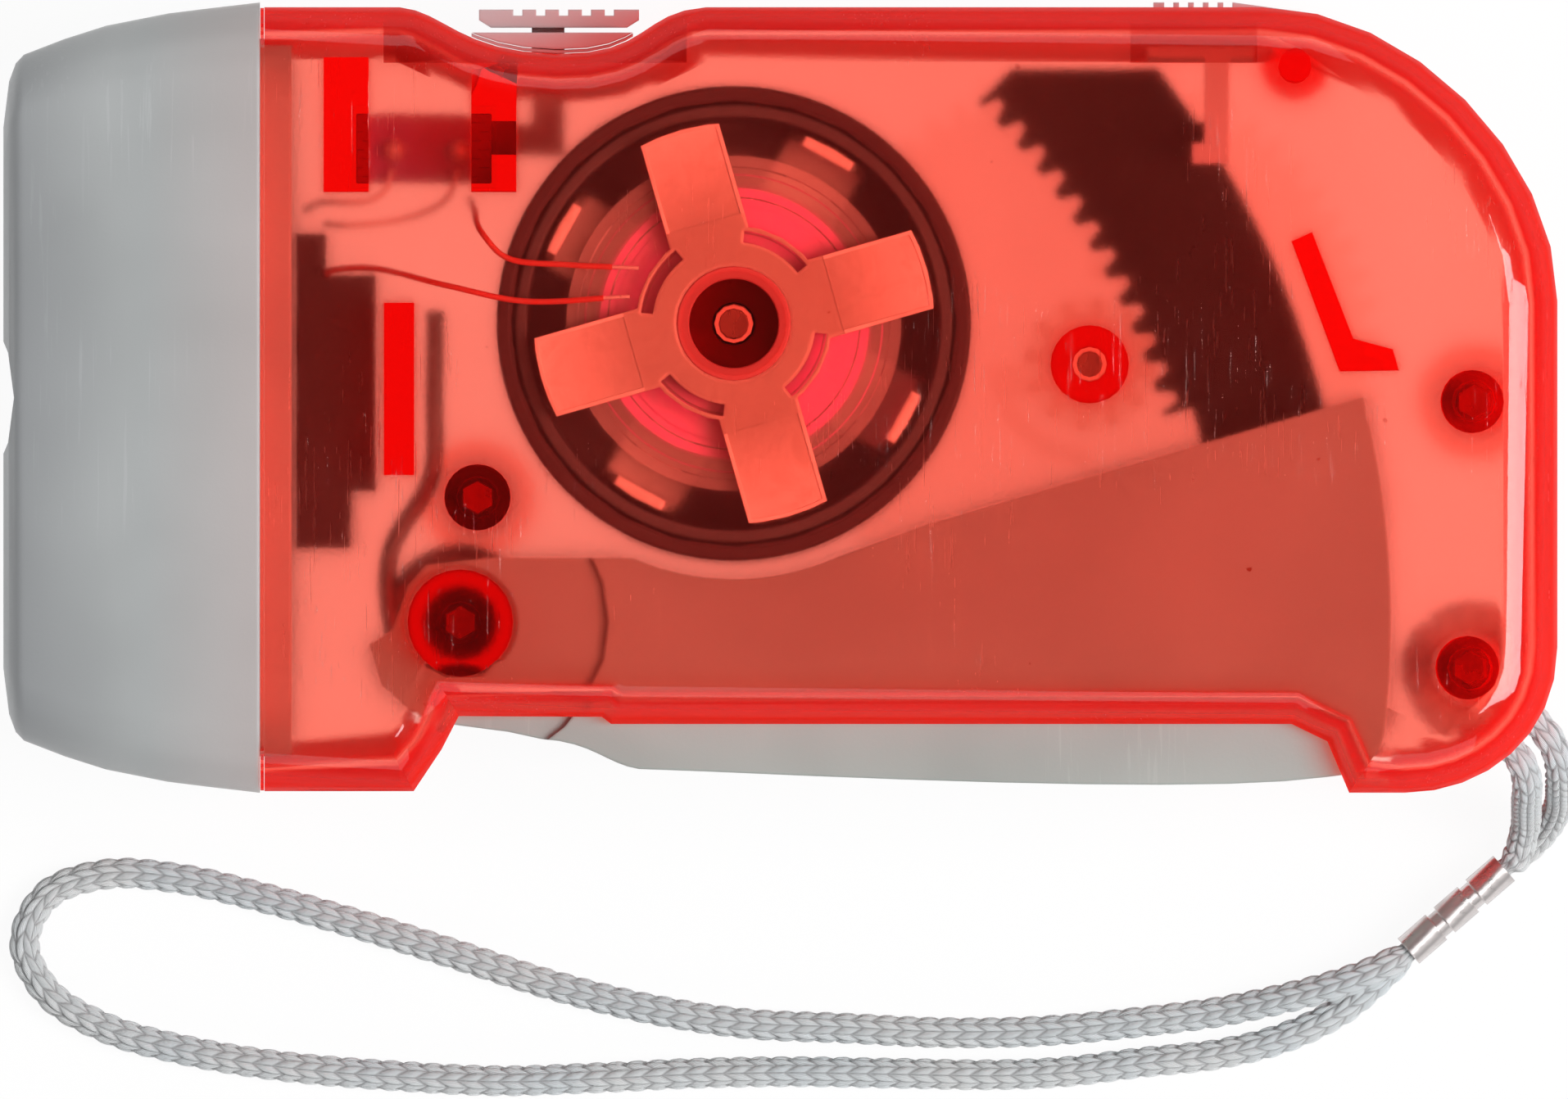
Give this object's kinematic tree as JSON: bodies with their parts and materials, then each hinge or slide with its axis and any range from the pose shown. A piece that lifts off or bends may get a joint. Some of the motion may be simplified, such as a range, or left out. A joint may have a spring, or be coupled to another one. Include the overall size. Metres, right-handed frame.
{
  "type": "hand crank flashlight",
  "caption": "Squeeze-lever dynamo flashlight: translucent housing, grey head, lever, gear train, flywheel generator, lamps, two sliders and a wrist strap.",
  "frame": {"origin": "under the middle of the body, on the surface that the lower shell lies on", "axes": "+X from the lens to the tail, +Y from the lever side to the side with the light switch, +Z from the lower shell up to the upper one"},
  "size_m": [0.1042, 0.0726, 0.036],
  "materials": {
    "red_shell": "clear red, glossy",
    "grey_plastic": "fine satin",
    "dark_plastic": "satin",
    "natural_plastic": "satin, slightly see-through",
    "clear_plastic": "clear",
    "clear_lens": "clear, polished",
    "led_epoxy": "clear",
    "chrome_reflector": "mirror-like plating on plastic",
    "steel": "bare",
    "brass_leaf": "bare",
    "magnet": "dull",
    "coil_tape": "taped",
    "circuit_board": "satin",
    "solder": "bright",
    "red_wire": "smooth",
    "pale_wire": "smooth",
    "braided_cord": "braided"
  },
  "bodies": {
    "housing": {"lower_shell": "red_shell", "upper_shell": "red_shell", "head_cap": "grey_plastic", "lens": "clear_lens", "reflector": "chrome_reflector", "led_holder": "dark_plastic", "led_1": "led_epoxy", "led_2": "led_epoxy", "led_3": "led_epoxy", "switch_board": "circuit_board", "switch_plate": "grey_plastic", "switch_wire_long": "pale_wire", "switch_wire_short": "pale_wire", "generator_wire_long": "red_wire", "generator_wire_short": "red_wire", "pivot_screw": "steel", "front_screw": "steel", "rear_upper_screw": "steel", "rear_lower_screw": "steel", "terminal_1": "solder", "terminal_2": "solder", "stator_front_plate": "steel", "stator_rear_plate": "steel", "coil_bobbin": "clear_plastic", "coil_winding": "coil_tape", "flywheel_axle": "steel", "gear_axle": "steel", "torsion_spring": "steel", "wrist_loop": "braided_cord", "strap_strand_1": "braided_cord", "strap_strand_2": "braided_cord", "ferrule": "steel", "strap_anchor": "braided_cord"},
    "squeeze_lever": {"lever": "grey_plastic", "sector_gear": "dark_plastic", "sector_screw_1": "steel", "sector_screw_2": "steel"},
    "pinion": {"drive_pinion": "natural_plastic"},
    "gear": {"drive_gear": "natural_plastic"},
    "rotor": {"flywheel": "dark_plastic", "ring_magnet": "magnet"},
    "light_switch": {"switch_slider": "grey_plastic", "switch_wiper": "brass_leaf"},
    "lock": {"lock_slider": "grey_plastic"}
  },
  "joints": [
    {"name": "lever_swing", "type": "hinge", "parent": "housing", "child": "squeeze_lever", "pos_m": [-0.02121, -0.01488, 0.018], "axis": [0, 0, 1], "range_deg": [-22, 0]},
    {"name": "pinion_spin", "type": "hinge", "parent": "housing", "child": "pinion", "pos_m": [0.0205, 0.0022, 0.0195], "axis": [0, 0, 1], "continuous": true},
    {"name": "gear_spin", "type": "hinge", "parent": "housing", "child": "gear", "pos_m": [0.0205, 0.0022, 0.0105], "axis": [0, 0, 1], "continuous": true},
    {"name": "flywheel_spin", "type": "hinge", "parent": "housing", "child": "rotor", "pos_m": [-0.00309, 0.00493, 0.021], "axis": [0, 0, 1], "continuous": true},
    {"name": "light_slide", "type": "slide", "parent": "housing", "child": "light_switch", "axis": [-1, 0, 0], "range_m": [0, 0.002]},
    {"name": "lock_slide", "type": "slide", "parent": "housing", "child": "lock", "axis": [-1, 0, 0], "range_m": [0, 0.0035]}
  ],
  "couplings": [
    {"joint": "pinion_spin", "follows": "lever_swing", "ratio": 12.5},
    {"joint": "gear_spin", "follows": "lever_swing", "ratio": 12.5},
    {"joint": "flywheel_spin", "follows": "lever_swing", "ratio": -48.333}
  ]
}
